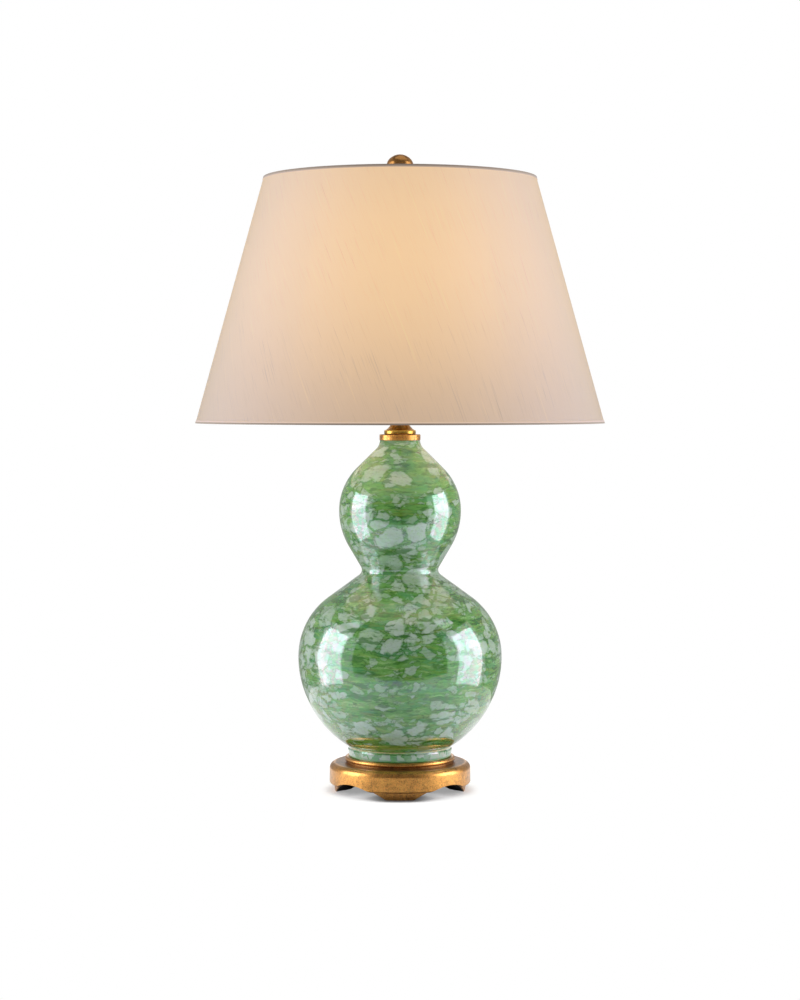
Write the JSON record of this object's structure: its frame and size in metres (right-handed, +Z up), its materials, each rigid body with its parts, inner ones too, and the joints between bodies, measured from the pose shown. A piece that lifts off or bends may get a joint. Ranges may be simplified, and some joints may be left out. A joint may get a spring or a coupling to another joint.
{
  "type": "table lamp",
  "caption": "Table lamp with a double gourd ceramic vase on a footed gilded plinth, a cone fabric shade on a harp, a turn-switch socket, a bulb and a ball finial.",
  "frame": {"origin": "centre of the lamp's footprint, on the surface that its feet stand on", "axes": "+Z up along the lamp's axis, -Y towards the front, +X to the right seen from the front"},
  "size_m": [0.4581, 0.4582, 0.7134],
  "materials": {
    "gold_leaf": "antique gold leaf over carved wood",
    "felt": "pressed felt",
    "rubber": "matt",
    "steel": "zinc plated",
    "bushing_plastic": "moulded",
    "glaze": "mottled lustre glaze",
    "brass": "polished, lightly aged",
    "harp_brass": "brass plated wire",
    "socket_brass": "bright dipped",
    "phenolic": "moulded phenolic",
    "insulating_card": "pressed card",
    "knob_plastic": "polished",
    "nickel": "satin",
    "bulb_glass": "frosted inside",
    "black_glass": "black glass",
    "filament": "glowing wire",
    "silk": "slubbed silk weave",
    "shade_card": "translucent white sheet",
    "trim_tape": "woven tape",
    "frame_wire": "white enamel"
  },
  "bodies": {
    "root": {"base_plinth": "gold_leaf", "felt_pads": "felt", "vase_gasket": "rubber", "threaded_pipe": "steel", "base_washer": "steel", "base_nut": "steel", "cord_bushing": "bushing_plastic", "vase_body": "glaze", "neck_disc": "gold_leaf", "vase_cap": "brass", "neck_tube": "brass", "harp_saddle": "harp_brass", "lock_washer": "steel", "socket_cap": "socket_brass", "cap_set_screw": "steel", "socket_shell": "socket_brass", "socket_liner": "insulating_card", "socket_core": "phenolic", "terminal_screws": "socket_brass", "screw_shell": "nickel", "centre_contact": "socket_brass"},
    "switch": {"switch_shaft": "steel", "switch_knob": "knob_plastic"},
    "bulb_contact": {"bulb_tip": "nickel"},
    "bulb": {"bulb_insulator": "black_glass", "bulb_screw_cap": "nickel", "bulb_glass": "bulb_glass", "bulb_stem": "bulb_glass", "bulb_filament": "filament"},
    "harp": {"harp_wire": "harp_brass"},
    "sleeve_left": {"harp_sleeve_left": "harp_brass"},
    "sleeve_right": {"harp_sleeve_right": "harp_brass"},
    "swivel": {"swivel_stud": "harp_brass"},
    "shade": {"shade_cover": "silk", "shade_liner": "shade_card", "top_trim": "trim_tape", "bottom_trim": "trim_tape", "top_ring": "frame_wire", "bottom_ring": "frame_wire", "spider_hub": "frame_wire", "spider_spokes": "frame_wire"},
    "finial_seat": {"finial_washer": "brass"},
    "finial": {"finial_base": "brass", "finial_ball": "brass"}
  },
  "joints": [
    {"name": "switch_turn", "type": "hinge", "parent": "root", "child": "switch", "pos_m": [0, -0.0171, 0.477], "axis": [0, -1, 0], "continuous": true},
    {"name": "bulb_lift", "type": "slide", "parent": "root", "child": "bulb_contact", "axis": [0, 0, 1], "range_m": [0, 0.0256]},
    {"name": "bulb_turn", "type": "hinge", "parent": "bulb_contact", "child": "bulb", "pos_m": [0, 0, 0.486], "axis": [0, 0, 1], "range_deg": [0, 2520]},
    {"name": "harp_lift", "type": "slide", "parent": "root", "child": "harp", "axis": [0, 0, 1], "range_m": [0, 0.025]},
    {"name": "sleeve_left_lift", "type": "slide", "parent": "harp", "child": "sleeve_left", "axis": [0, 0, 1], "range_m": [0, 0.012]},
    {"name": "sleeve_right_lift", "type": "slide", "parent": "harp", "child": "sleeve_right", "axis": [0, 0, 1], "range_m": [0, 0.012]},
    {"name": "shade_swivel", "type": "hinge", "parent": "harp", "child": "swivel", "pos_m": [0, 0, 0.6699], "axis": [0, 0, 1], "continuous": true},
    {"name": "shade_lift", "type": "slide", "parent": "swivel", "child": "shade", "axis": [0, 0, 1], "range_m": [0, 0.285]},
    {"name": "finial_lift", "type": "slide", "parent": "shade", "child": "finial_seat", "axis": [0, 0, 1], "range_m": [0, 0.0096]},
    {"name": "finial_turn", "type": "hinge", "parent": "finial_seat", "child": "finial", "pos_m": [0, 0, 0.6775], "axis": [0, 0, 1], "range_deg": [0, 3600]}
  ],
  "couplings": [
    {"joint": "bulb_lift", "follows": "bulb_turn", "m_per_rad": 0.00057773},
    {"joint": "finial_lift", "follows": "finial_turn", "m_per_rad": 0.00014961}
  ]
}
